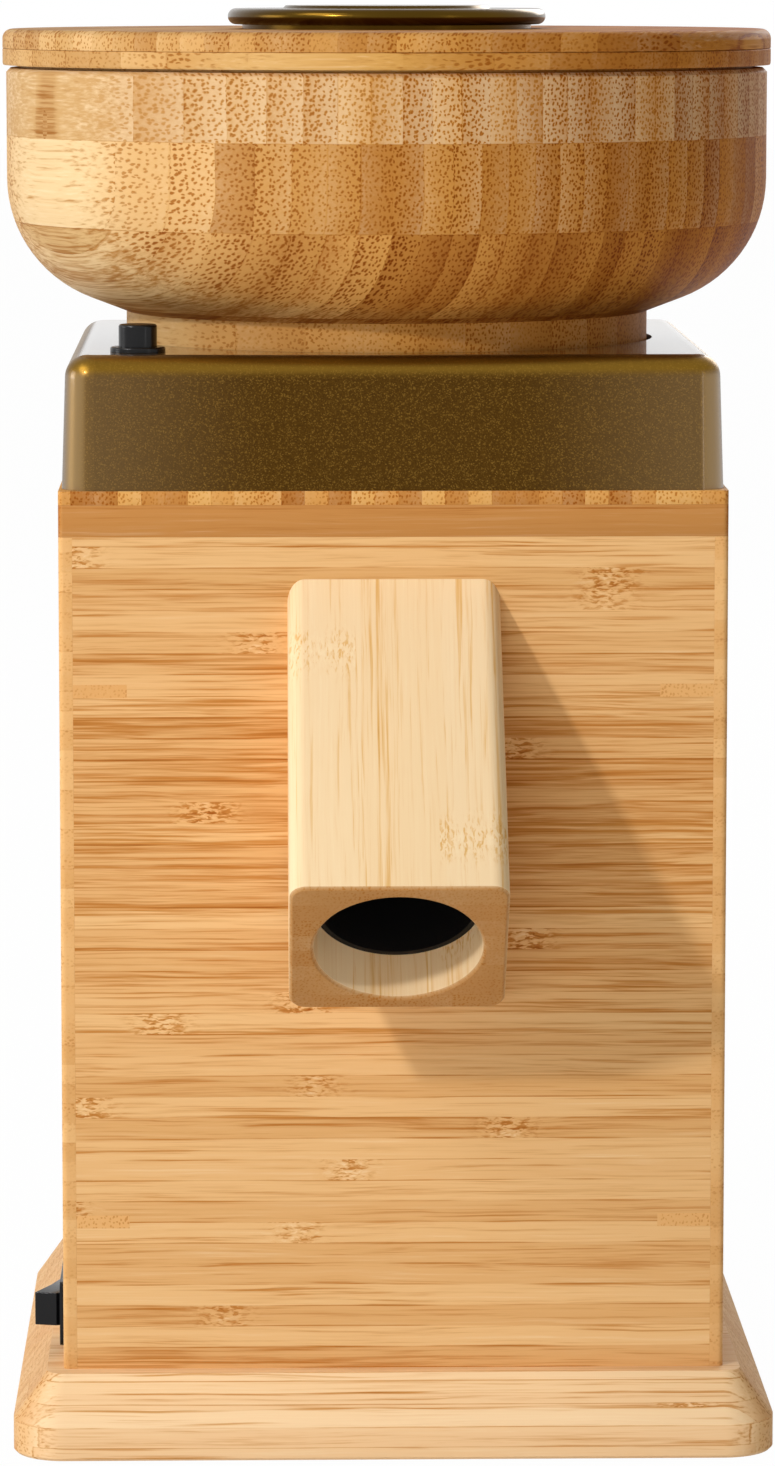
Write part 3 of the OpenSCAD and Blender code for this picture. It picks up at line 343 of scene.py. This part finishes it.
class Bamboo:
    """Strips of bamboo glued side by side, in layers, solid all through: long fibres show as
    streaks along the grain and as dots across it. tones are its dark, middle and light strips.
    axes names the object's axes along the grain, across the strips and through the layers."""

    def __init__(self, name, tones, strip, layer, axes, seed, turn=(0, 0, 0), shift=(0, 0, 0)):
        self.finish = finish = Finish(name)
        self.tones = tones
        along_grain = Vector([float(letter == axes[0]) for letter in "xyz"])
        unturn = Euler(tuple(map(math.radians, turn))).to_matrix().transposed()
        self.end_grain = finish.facing(unturn @ along_grain)
        coordinates = dict(zip("xyz", finish.split(finish.place(turn, shift))))
        self.along, self.across, self.up = (coordinates[letter] for letter in axes)

        # Each layer's joints are moved along, and each strip has its own random numbers
        self.level = (self.up / layer).floor()
        moved = finish.random(finish.vector(self.level, seed, LAYER_DRAW))[0] * JOINTS_MOVED
        sway = finish.noise(self.stretched(JOINT_SWAY), 1.0)
        place_across = self.across / strip + moved + (sway - 0.5) * SWAY_SHARE
        index = place_across.floor()
        strip_random = finish.random(finish.vector(index, self.level, seed))
        self.tone, self.chance, self.wildness = strip_random
        self.own = self.tone * STRIP_DRAWS[0] + self.chance * STRIP_DRAWS[1]
        self.within = place_across.fraction()

        joint = (place_across + 0.5).floor()
        fading = finish.noise(finish.vector(
            self.along * FADE_ALONG, joint * FADE_ACROSS + seed, self.level), 1.0, detail=1.0)
        self.joint_strength = fading.between(*FADE_RANGE)
        self.joint_gap = place_across.math("PINGPONG", 0.5) * strip
        self.layer_gap = (self.up / layer).math("PINGPONG", 0.5) * layer
        self.knot = self.knot_line = None

    def stretched(self, pattern, own=0, lift=0):
        """Where a pattern is read. It is stretched along the grain, moved along by own, and
        sideways by lift."""
        along, across = pattern
        return self.finish.vector(self.along * along + own, (self.across + lift) * across,
                                  (self.up + lift) * across)

    def scattered_knots(self, step, share):
        """One knot in each step along a share of the strips."""
        beside = ((self.along / step + self.chance * KNOT_DRAW).fraction() - 0.5) * step
        self.add_knots(beside, self.wildness.math("LESS_THAN", share))

    def add_knots(self, beside, here):
        """Knots where beside, the distance along the grain, is 0, on the strips where here is 1."""
        self.knot = beside.bell(KNOT_LENGTH) * here
        self.knot_line = beside.bell(KNOT_LINE_LENGTH) * here

    def fibres(self):
        """Fine and broad streaks along the grain, and dark lines. They bend round the knots."""
        noise = self.finish.noise
        lift = (noise(self.stretched(FIBRE_WANDER, self.own), 1.0) - 0.5) * WANDER_REACH
        if self.knot:
            bend = noise(self.stretched(KNOT_BEND, self.own), 1.0)
            lift = lift + (bend - 0.5) * self.knot * BEND_REACH
        path = self.stretched(FIBRE_PATH, self.own, lift)
        thick = noise(path, scale=0.75, detail=1.5).between(*THICK_LINES)
        thin = noise(path, scale=1.7, detail=1.0).between(*THIN_LINES)
        fine = noise(path, scale=1.3, detail=3.0, roughness=0.62)
        broad = noise(path, scale=0.2)
        return fine, broad, thick + thin * THIN_LINE_DEPTH

    def flecks(self):
        """Dark and pale flecks that swirl round a knot."""
        swirl = self.finish.noise(self.stretched(KNOT_SWIRL, self.own), 1.1, roughness=0.6,
                                  distortion=0.5)
        return (swirl.between(*FLECK_RANGE) - FLECK_LEVEL) * self.chance.varied(*FLECKS_VARY)

    def dots(self):
        """Fibre bundles cut across, and how close they are: closer towards one side of each
        strip."""
        finish = self.finish
        waver = finish.noise(self.stretched(BUNDLE_WAVER, self.own), 0.7)
        cut = finish.vector(self.across + self.own + waver,
                            self.up * BUNDLE_STRETCH + waver * BUNDLE_SLANT, 0.0)
        apart = finish.cells(cut, 1 / BUNDLE_GAP, BUNDLE_JITTER, "2D")
        turned_round = self.chance.math("GREATER_THAN", 0.5)
        crowding = finish.choice(turned_round, self.within, 1 - self.within)
        low, high = BUNDLE_EDGE
        return (apart - crowding * BUNDLE_CROWDING).between(low, high, 1.0, 0.0), crowding

    def glue_lines(self):
        """The glue between strips, which comes and goes, and the glue between layers."""
        strips = (1 - self.joint_gap.between(*STRIP_SEAM)) * self.joint_strength
        layers = (1 - self.layer_gap.between(*LAYER_SEAM)) * LAYER_SEAM_DEPTH
        return strips.largest(layers)

    def material(self, contrast=0.6, streaks=0.5, bundles=0.5, seams=0.5, crowd=0.2,
                 end_tone=(240, 226, 206), deep_tone=(216, 184, 136), cut_angle=(0.1, 0.6),
                 ply_step=0.0, darker_strips=None, painted_light_reach=None):
        """Puts it together. Shade 0 is the strip's own tone, higher is darker and lower is paler.

        contrast says how far the strips differ in tone. streaks, bundles, seams and crowd say how
        much the fibres show, their cut ends, the glue, and the crowding of the ends. end_tone and
        deep_tone tint the end grain and the darker parts. cut_angle gives where the end grain
        begins and where it is full, as facing() measures it. ply_step makes each layer paler than
        the one below: painted shade, deeper on the lower layers, where less light falls.
        darker_strips gives the middle, width and depth of a darker stretch of strips, partly their
        own tone and partly painted shade round the spout. A piece given aged has painted light: it
        is painted paler on its left, a painted highlight, and deeper towards its right, painted
        shade, over that many millimetres each way."""
        finish = self.finish
        fine, broad, lines = self.fibres()
        dots, crowding = self.dots()
        across_grain = self.end_grain.between(*cut_angle)

        streak = ((fine - 0.5) * (streaks * FINE_SHARE) + (broad - 0.5) * (streaks * BROAD_SHARE)
                  + lines * (streaks * LINE_SHARE))
        if self.knot:
            streak = streak + self.knot * self.flecks() - self.knot_line * KNOT_LINE_DEPTH
        speckle = ((dots - BUNDLE_LEVEL) * bundles * self.wildness.varied(*BUNDLES_VARY)
                   + (crowding - 0.5) * crowd)
        shade = (streak * (1 - across_grain * STREAKS_LOST)
                 + speckle * across_grain.between(0, 1, BUNDLES_LEFT, 1.0)
                 + self.glue_lines() * (1 - across_grain * SEAMS_LOST) * seams)
        # Painted shade: each lower layer is darker, as if less light fell on it
        if ply_step:
            shade = shade - (self.level + 1) * ply_step
        # A darker band across the strips: partly their own tone, partly painted shade round the
        # spout
        if darker_strips:
            middle, width, depth = darker_strips
            shade = shade + (self.across - middle).bell(width) * depth

        strip_tone = self.tone * contrast + (0.5 - contrast / 2)
        base = finish.ramp(strip_tone, tuple(zip((0.0, 0.5, 1.0), self.tones)))
        base = finish.mix(across_grain, base, finish.tinted(base, linear(*end_tone)))
        # Painted light: paler on the left as a painted highlight, deeper towards the right as
        # painted shade
        if painted_light_reach:
            from_left = finish.split(finish.place())[0] * (0.5 / painted_light_reach) + 0.5
            base = finish.tinted(base, finish.ramp(from_left, PAINTED_LIGHT_STOPS))
        pale = finish.mix(PALE_SHARE, base, linear(*PALE_TINT))
        deep = finish.tinted(base, linear(*deep_tone))
        deepest = finish.tinted(deep, linear(*DEEPEST_TINT))
        colour = finish.mix(shade.between(*PALE_SHADES), pale, base)
        colour = finish.mix(shade.between(*DEEP_SHADES), colour, deep)
        colour = finish.mix(shade.between(*DEEPEST_SHADES), colour, deepest)
        return finish.surface(
            Base_Color=colour, Roughness=fine.between(0.2, 0.8, *WOOD_ROUGHNESS),
            Specular_IOR_Level=WOOD_SPECULAR,
            Normal=finish.bump(shade * -1.0, WOOD_BUMP, WOOD_BUMP_STRENGTH))


FRONT_TONES = ((216, 164, 103), (230, 182, 124), (238, 196, 140))
BASE_TONES = ((232, 188, 142), (242, 206, 160), (249, 220, 180))
DARK_TONES = ((182, 122, 62), (190, 131, 70), (198, 140, 78))
END_GRAIN_TONES = ((184, 124, 60), (222, 168, 98), (240, 196, 126))
BOWL_TONES = ((190, 146, 92), (214, 178, 124), (236, 206, 160))
SPOUT_TONES = ((242, 206, 158), (246, 216, 172), (249, 224, 186))

KNOT_STEP = 300           # along a board's strips, with one knot in each step
ONE_LAYER = 200           # thicker than any board


def board(name, tones, strip, axes, seed, layer=ONE_LAYER, shift=(0, 0, 0), knot_share=0.0,
          **look):
    """A flat board of strips side by side. knot_share of them have knots, scattered along."""
    wood = Bamboo(name, tones, strip, layer, axes, seed, shift=shift)
    if knot_share:
        wood.scattered_knots(KNOT_STEP, knot_share)
    return wood.material(**look)


def turned(name, strip, layer, turn, joint_z, seed, **look):
    """A turned piece. Its strips stand at an angle about the vertical, in layers, with a joint
    between two layers at joint_z."""
    wood = Bamboo(name, BOWL_TONES, strip, layer, "yxz", seed, turn=(0, 0, -turn),
                  shift=(0, 0, -joint_z / MM))
    # Each turned piece gets painted light, paler on its left and deeper towards its right
    return wood.material(painted_light_reach=105, cut_angle=(0.01, 0.16), deep_tone=(206, 174, 128), **look)


SPOUT_STRIP, SPOUT_LAYER = 21, 6.6
SPOUT_SLOPE = 45               # degrees
# Where the middle between the knots lies along the spout, and how far each knot is from it
KNOTS_MIDDLE, KNOT_FROM_MIDDLE = -69.1, 30.9


def spout_wood(name):
    """Three strips along the slope of the spout, with a knot on each of the outer two."""
    wood = Bamboo(name, SPOUT_TONES, SPOUT_STRIP, SPOUT_LAYER, "yxz", seed=23.0,
                  turn=(-SPOUT_SLOPE, 0, 0), shift=(SPOUT_STRIP / 2, 0, 0))
    side = (wood.across / SPOUT_STRIP).floor()
    wood.add_knots(wood.along + KNOTS_MIDDLE + side * KNOT_FROM_MIDDLE, side.absolute())
    return wood.material(contrast=0.5, streaks=0.5, bundles=0.4, seams=0.25,
                         end_tone=(194, 162, 124), deep_tone=(236, 210, 158))


BOARDS = {
    # The front's darker band of strips round 172 mm up is partly painted shade round the spout
    "bamboo_front": dict(tones=FRONT_TONES, strip=5.7, axes="xzy", seed=2.0, shift=(0, 0, 1.6),
                         knot_share=0.6, darker_strips=(172, 38, 0.25)),
    "bamboo_side": dict(tones=FRONT_TONES, strip=5.3, layer=9, axes="yzx", seed=5.0,
                        knot_share=0.6, seams=0.3, bundles=0.22, end_tone=(252, 248, 240)),
    "bamboo_base": dict(tones=BASE_TONES, strip=6.0, layer=5.5, axes="xyz", seed=7.0,
                        knot_share=0.4),
    "bamboo_key": dict(tones=FRONT_TONES, strip=40, layer=60, axes="yxz", seed=3.0, bundles=0.35,
                       end_tone=(250, 240, 224)),
    "bamboo_dark": dict(tones=DARK_TONES, strip=8.5, axes="xzy", seed=11.0, streaks=0.3),
    "bamboo_end_grain": dict(tones=END_GRAIN_TONES, strip=6.2, layer=50, axes="yxz", seed=13.0,
                             contrast=0.9, bundles=0.6),
}
TOP_ROW = 18.4 * MM       # height of the bowl's top row of staves
TURNED = {
    # ply_step paints shade on the bowl's lower layers of staves
    "bamboo_bowl": dict(strip=7.2, layer=23.6, turn=28, joint_z=RIM_Z - TOP_ROW, seed=17.0,
                        contrast=0.75, bundles=0.8, crowd=0.25, ply_step=0.28),
    "bamboo_neck": dict(strip=13, layer=30, turn=24, joint_z=BOWL_BASE, seed=29.0, contrast=0.5,
                        bundles=0.6),
    "bamboo_lid": dict(strip=7.3, layer=5.3, turn=-22, joint_z=RIM_Z, seed=19.0, contrast=0.7,
                       bundles=0.6),
    "bamboo_lid_low": dict(strip=7.3, layer=5.3, turn=80, joint_z=RIM_Z, seed=31.0, contrast=0.5,
                           bundles=0.5),
}

# ---- Metal, paint, plastic and stone ----

CLOUD_SIZE = 20           # millimetres
CLOUD_TONE = 0.88         # of the colour, where a cloud is darkest

FLAKE_SIZE = 0.3          # millimetres
FLAKE_TONES = ((0.0, (70, 45, 6)), (0.75, (84, 56, 10)), (1.0, (120, 88, 32)))
# A painted highlight: paler paint along the cover's rounded top edge, and its share
PAINTED_EDGE_HIGHLIGHT, EDGE_HIGHLIGHT_SHARE = (140, 106, 32), 0.55
# A painted reflection: paler paint on the cover's rounded corners and towards them, and its share
PAINTED_CORNER_REFLECTION, CORNER_REFLECTION_SHARE = (136, 106, 56), 0.4
CORNER_REACH = (30, 95)   # millimetres from the cover's middle planes
# How far the surface faces up: where the painted highlight of the top edge begins and ends, and
# where the top's clear coat does
TOP_EDGE_LOW, TOP_EDGE_HIGH, COVER_TOP = (0.02, 0.45), (0.8, 0.97), (0.88, 0.99)


def plain(name, colour, roughness, metallic=0.0, grain_size=0.6, grain_depth=0.004, **more):
    """A plastic, rubber, metal or stone with a fine grain and a slight change of tone."""
    finish = Finish(name)
    point = finish.place()
    grain = finish.noise(point, 1 / grain_size, detail=3.0, roughness=0.55)
    cloud = finish.noise(point, 1 / CLOUD_SIZE)
    base = linear(*colour)
    darker = tuple(part * CLOUD_TONE for part in base[:3]) + (1,)
    return finish.surface(
        Base_Color=finish.mix(cloud.between(0.3, 0.7), darker, base),
        Roughness=grain.between(0.25, 0.75, roughness * 0.85, min(1, roughness * 1.15)),
        Metallic=metallic, Normal=finish.bump(grain, grain_depth * MM), **more)


def bronze_paint(name):
    """Bronze paint with fine metal flakes. Its colour is painted paler along the cover's rounded
    top edge, a painted highlight, and towards the four corners, a painted reflection; its clear
    coat lies on the top and towards the four corners."""
    finish = Finish(name)
    flake = finish.cells(finish.place(), 1 / FLAKE_SIZE, output="Color")
    glint = finish.split_colour(flake)[0]
    sideways, forward, upward = finish.split(finish.normal())
    # Painted highlight along the rounded top edge
    top_edge_highlight = upward.between(*TOP_EDGE_LOW) - upward.between(*TOP_EDGE_HIGH)
    x, y = finish.split(finish.place(shift=(0, -COVER_Y / MM, 0)))[:2]
    # Painted reflection on the rounded corners and near them; the clear coat follows it
    low, high = CORNER_REACH
    near_corner_reflection = x.absolute().smallest(y.absolute()).between(low, high, 0.0, CORNER_REFLECTION_SHARE)
    round_corner_reflection = (sideways * forward).absolute().between(0.1, 0.5)
    corner_reflection = round_corner_reflection.largest(near_corner_reflection) * (1 - top_edge_highlight)
    colour = finish.ramp(glint, FLAKE_TONES)
    colour = finish.mix(top_edge_highlight * EDGE_HIGHLIGHT_SHARE, colour, linear(*PAINTED_EDGE_HIGHLIGHT))
    colour = finish.mix(corner_reflection, colour, linear(*PAINTED_CORNER_REFLECTION))
    return finish.surface(Base_Color=colour, Metallic=0.92,
                          Roughness=glint.between(0.0, 1.0, 0.4, 0.33),
                          Coat_Weight=upward.between(*COVER_TOP).largest(corner_reflection),
                          Coat_Roughness=0.08)


PLAIN = {
    "bronze_metal": dict(colour=(82, 60, 17), roughness=0.22, metallic=1.0, grain_depth=0.001),
    "black_gloss": dict(colour=(14, 14, 16), roughness=0.2, grain_depth=0.001,
                        Specular_IOR_Level=0.25),
    "black_plastic": dict(colour=(16, 16, 17), roughness=0.5, Specular_IOR_Level=0.35),
    "rubber": dict(colour=(40, 40, 42), roughness=0.8),
    "felt": dict(colour=(120, 118, 112), roughness=0.95, grain_depth=0.05),
    "zinc_steel": dict(colour=(190, 190, 188), roughness=0.35, metallic=1.0),
    "bright_steel": dict(colour=(206, 206, 206), roughness=0.22, metallic=1.0,
                         grain_depth=0.001),
    "cast_aluminium": dict(colour=(176, 178, 180), roughness=0.5, metallic=1.0,
                           grain_depth=0.02),
    "millstone": dict(colour=(224, 218, 204), roughness=0.85, grain_size=0.9, grain_depth=0.06),
    "laminations": dict(colour=(112, 114, 118), roughness=0.45, metallic=1.0),
    "copper": dict(colour=(186, 104, 60), roughness=0.3, metallic=1.0),
    "capacitor_shell": dict(colour=(206, 208, 212), roughness=0.4),
    "ivory_plastic": dict(colour=(232, 224, 200), roughness=0.45),
}

MATERIALS = {"bamboo_spout": spout_wood("bamboo_spout"),
             "bronze_paint": bronze_paint("bronze_paint")}
for maker, finishes in ((board, BOARDS), (turned, TURNED), (plain, PLAIN)):
    for finish_name, its_look in finishes.items():
        MATERIALS[finish_name] = maker(finish_name, **its_look)

# A piece has the finish that its slot names, apart from these
OWN_FINISH = {"hopper_neck": "bamboo_neck", "lid_lower_ply": "bamboo_lid_low",
              "front_keys": "bamboo_key", "back_keys": "bamboo_key"}
for node_name, cad_node in NODES.items():
    finish_name = OWN_FINISH.get(node_name, SLOTS[node_name])
    cad_node.material_slots[0].material = MATERIALS[finish_name]

# ---- Pieces whose sharp edges are eased, and the button's spring ----

JOINED = 0.002 * MM            # the most that the corners of neighbouring triangles lie apart
FLAT = math.radians(1)         # the most that one flat face's triangles turn
SHARP = math.radians(30)       # the least that a sharp edge turns
EDGE_SEGMENTS = 3


def copy_of(node, name, whole_faces):
    """A copy of a CAD piece in its place, with its triangles joined. whole_faces also makes them
    into whole faces."""
    mesh = NODES[node].data.copy()
    work = bmesh.new()
    work.from_mesh(mesh)
    bmesh.ops.remove_doubles(work, verts=work.verts, dist=JOINED)
    if whole_faces:
        bmesh.ops.dissolve_limit(work, angle_limit=FLAT, verts=work.verts, edges=work.edges)
    work.to_mesh(mesh)
    work.free()
    mesh.shade_smooth()
    piece = bpy.data.objects.new(name, mesh)
    bpy.context.scene.collection.objects.link(piece)
    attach(piece, BODY_OF[node])
    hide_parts(node)
    return piece


def eased(node, width):
    """A copy of a CAD piece with its sharp edges rounded."""
    piece = copy_of(node, node + "_eased", whole_faces=True)
    bevel = piece.modifiers.new("edges", "BEVEL")
    bevel.width, bevel.segments = width * MM, EDGE_SEGMENTS
    bevel.limit_method, bevel.angle_limit = "ANGLE", SHARP
    bevel.harden_normals = True


EASED = {"base_board": 1.2, "left_panel": 0.35, "right_panel": 0.35, "top_board": 0.3,
         "top_veneer": 0.3, "spout_block": 0.5, "switch_housing": 0.3, "switch_rocker": 0.4}
for eased_node, edge in EASED.items():
    eased(eased_node, edge)

button_spring = copy_of("button_spring", "button_spring_pressed", whole_faces=False)
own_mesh(button_spring)

# ---- Studio, in metres and watts ----

CENTRE = Vector((0, 0, 0.19))      # what the lamps point at
KEY_FROM = Vector((-0.9, -1.0, 0.67)).normalized()
KEY_DISTANCE = 3.0
FILL_STRENGTH, FILL_COLOUR = 0.2, (1, 0.88, 0.64, 1)
WHITE = (1, 1, 1, 1)
FLOOR_REACH = 12
FLOOR_COLOUR = (0.84, 0.84, 0.84, 1)
FLOOR_WHITE = 0.985                # what the camera sees of the white, and not of the floor


def lamp(name, place, watts, size, height=None, shape="RECTANGLE", mirrored=True):
    """An area lamp that points at the mill. Glossy pieces show it if it is mirrored."""
    data = bpy.data.lights.new(name, "AREA")
    data.shape = shape
    data.size = size
    data.size_y = height or size
    data.energy = watts
    made = bpy.data.objects.new(name, data)
    made.location = place
    made.rotation_euler = (CENTRE - Vector(place)).to_track_quat("-Z", "Y").to_euler()
    made.visible_glossy = mirrored
    bpy.context.scene.collection.objects.link(made)


def white_to_the_camera(nodes, share):
    """The share of a white light of strength 1 that the camera, and what mirrors it, see."""
    paths = nodes.node("ShaderNodeLightPath").output.node.outputs
    seen = Value(nodes, paths["Is Camera Ray"]) + Value(nodes, paths["Is Glossy Ray"])
    seen = seen + Value(nodes, paths["Is Transmission Ray"])
    return seen.smallest(1.0) * share


def studio_floor():
    plane = bpy.data.meshes.new("studio_floor")
    work = bmesh.new()
    bmesh.ops.create_grid(work, x_segments=1, y_segments=1, size=FLOOR_REACH)
    work.to_mesh(plane)
    work.free()
    made = bpy.data.objects.new("studio_floor", plane)
    bpy.context.scene.collection.objects.link(made)
    finish = Finish("studio_floor")
    pale = finish.node("ShaderNodeBsdfDiffuse", {}, {"Color": FLOOR_COLOUR})
    white = finish.node("ShaderNodeEmission", {}, {"Color": WHITE, "Strength": 1.0})
    mixed = finish.node("ShaderNodeMixShader", {}, {
        0: white_to_the_camera(finish, FLOOR_WHITE), 1: pale, 2: white})
    finish.node("ShaderNodeOutputMaterial", {}, {"Surface": mixed})
    plane.materials.append(finish.material)


def studio_world():
    world = bpy.data.worlds.new("studio")
    world.use_nodes = True
    nodes = Nodes(world.node_tree)
    fill = nodes.node("ShaderNodeBackground", {}, {
        "Color": FILL_COLOUR, "Strength": FILL_STRENGTH})
    white = nodes.node("ShaderNodeBackground", {}, {"Color": WHITE, "Strength": 1.0})
    mixed = nodes.node("ShaderNodeMixShader", {}, {
        0: white_to_the_camera(nodes, 1.0), 1: fill, 2: white})
    nodes.node("ShaderNodeOutputWorld", {}, {"Surface": mixed})
    bpy.context.scene.world = world


lamp("key", CENTRE + KEY_FROM * KEY_DISTANCE, watts=35.5, size=0.2, shape="DISK")
lamp("high_softbox", (-1.2, -0.7, 1.5), watts=10.5, size=0.7)
lamp("side_softbox", (-1.9, 0.1, 0.6), watts=6, size=0.7)
lamp("low_softbox", (-0.4, -2.0, 0.3), watts=7.5, size=0.9, height=0.4, mirrored=False)
lamp("right_strip_light", (1.35, -1.3, 0.5), watts=1.2, size=0.12, height=1.3)
lamp("back_softbox", (0.9, 1.9, 1.1), watts=14, size=1.0)
studio_floor()
studio_world()
bpy.context.scene.view_settings.view_transform = "Standard"
